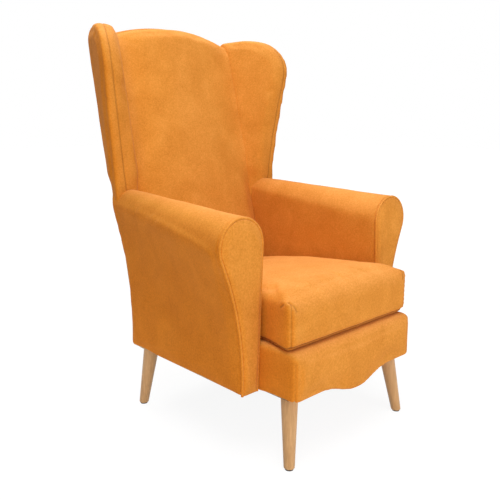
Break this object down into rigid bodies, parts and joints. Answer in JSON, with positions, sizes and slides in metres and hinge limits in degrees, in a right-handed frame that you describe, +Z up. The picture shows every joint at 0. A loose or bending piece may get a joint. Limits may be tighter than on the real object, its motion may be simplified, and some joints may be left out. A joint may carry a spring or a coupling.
{
  "type": "upholstered wing armchair",
  "caption": "High-backed wing armchair with rolled arms, a loose seat cushion, a scalloped apron and splayed tapered wooden legs, upholstered in suede-like cloth.",
  "frame": {"origin": "middle of the chair's box on the floor", "axes": "+Z up, -Y to the front, +X to the sitter's left"},
  "size_m": [0.7174, 0.774, 1.08],
  "materials": {
    "suede_cloth": "matt napped",
    "foam": "open cell",
    "beech": "satin lacquer",
    "frame_wood": "planed",
    "plywood": "sanded",
    "steel": "zinc plated",
    "slider_metal": "satin",
    "glide_plastic": "matt",
    "clip_plastic": "matt",
    "zip_tape": "woven",
    "dust_cloth": "non-woven",
    "webbing": "woven"
  },
  "bodies": {
    "chair": {"apron_pad": "foam", "arm_bolts": "steel", "arm_cover_left": "suede_cloth", "arm_cover_right": "suede_cloth", "arm_facing_left": "suede_cloth", "arm_facing_right": "suede_cloth", "arm_lower_rail_left": "frame_wood", "arm_lower_rail_right": "frame_wood", "arm_nuts": "steel", "arm_outer_board_left": "plywood", "arm_outer_board_right": "plywood", "arm_pad_left": "foam", "arm_pad_right": "foam", "arm_scroll_board_left": "plywood", "arm_scroll_board_right": "plywood", "arm_side_panel_left": "plywood", "arm_side_panel_right": "plywood", "arm_top_rail_left": "frame_wood", "arm_top_rail_right": "frame_wood", "arm_welt_left": "suede_cloth", "arm_welt_right": "suede_cloth", "back_inner_cover": "suede_cloth", "back_lower_rail": "frame_wood", "back_outer_board": "plywood", "back_outer_cover": "suede_cloth", "back_pad": "foam", "back_post_left": "frame_wood", "back_post_right": "frame_wood", "back_top_rail": "frame_wood", "back_webbing": "webbing", "base_cover": "suede_cloth", "dust_cover": "dust_cloth", "front_corner_blocks": "frame_wood", "leg_bolts": "steel", "leg_front_left": "beech", "leg_front_right": "beech", "leg_glides": "glide_plastic", "leg_rear_left": "beech", "leg_rear_right": "beech", "leg_tee_nuts": "steel", "post_screws": "steel", "rear_leg_blocks": "frame_wood", "seat_deck_pad": "foam", "seat_front_rail": "frame_wood", "seat_rear_rail": "frame_wood", "seat_side_rail_left": "frame_wood", "seat_side_rail_right": "frame_wood", "seat_springs": "steel", "spring_clips": "clip_plastic", "wing_board_left": "plywood", "wing_board_right": "plywood", "wing_cover_left": "suede_cloth", "wing_cover_right": "suede_cloth", "wing_pad_left": "foam", "wing_pad_right": "foam"},
    "seat_cushion": {"cushion_foam": "foam", "cushion_cover": "suede_cloth", "cushion_zip": "zip_tape"},
    "zip_slider": {"zip_slider": "slider_metal"}
  },
  "joints": [
    {"name": "seat_cushion_lift", "type": "slide", "parent": "chair", "child": "seat_cushion", "axis": [0, 0, 1], "range_m": [0, 0.35]},
    {"name": "zip_slide", "type": "slide", "parent": "seat_cushion", "child": "zip_slider", "axis": [-1, 0, 0], "range_m": [0, 0.34]}
  ]
}
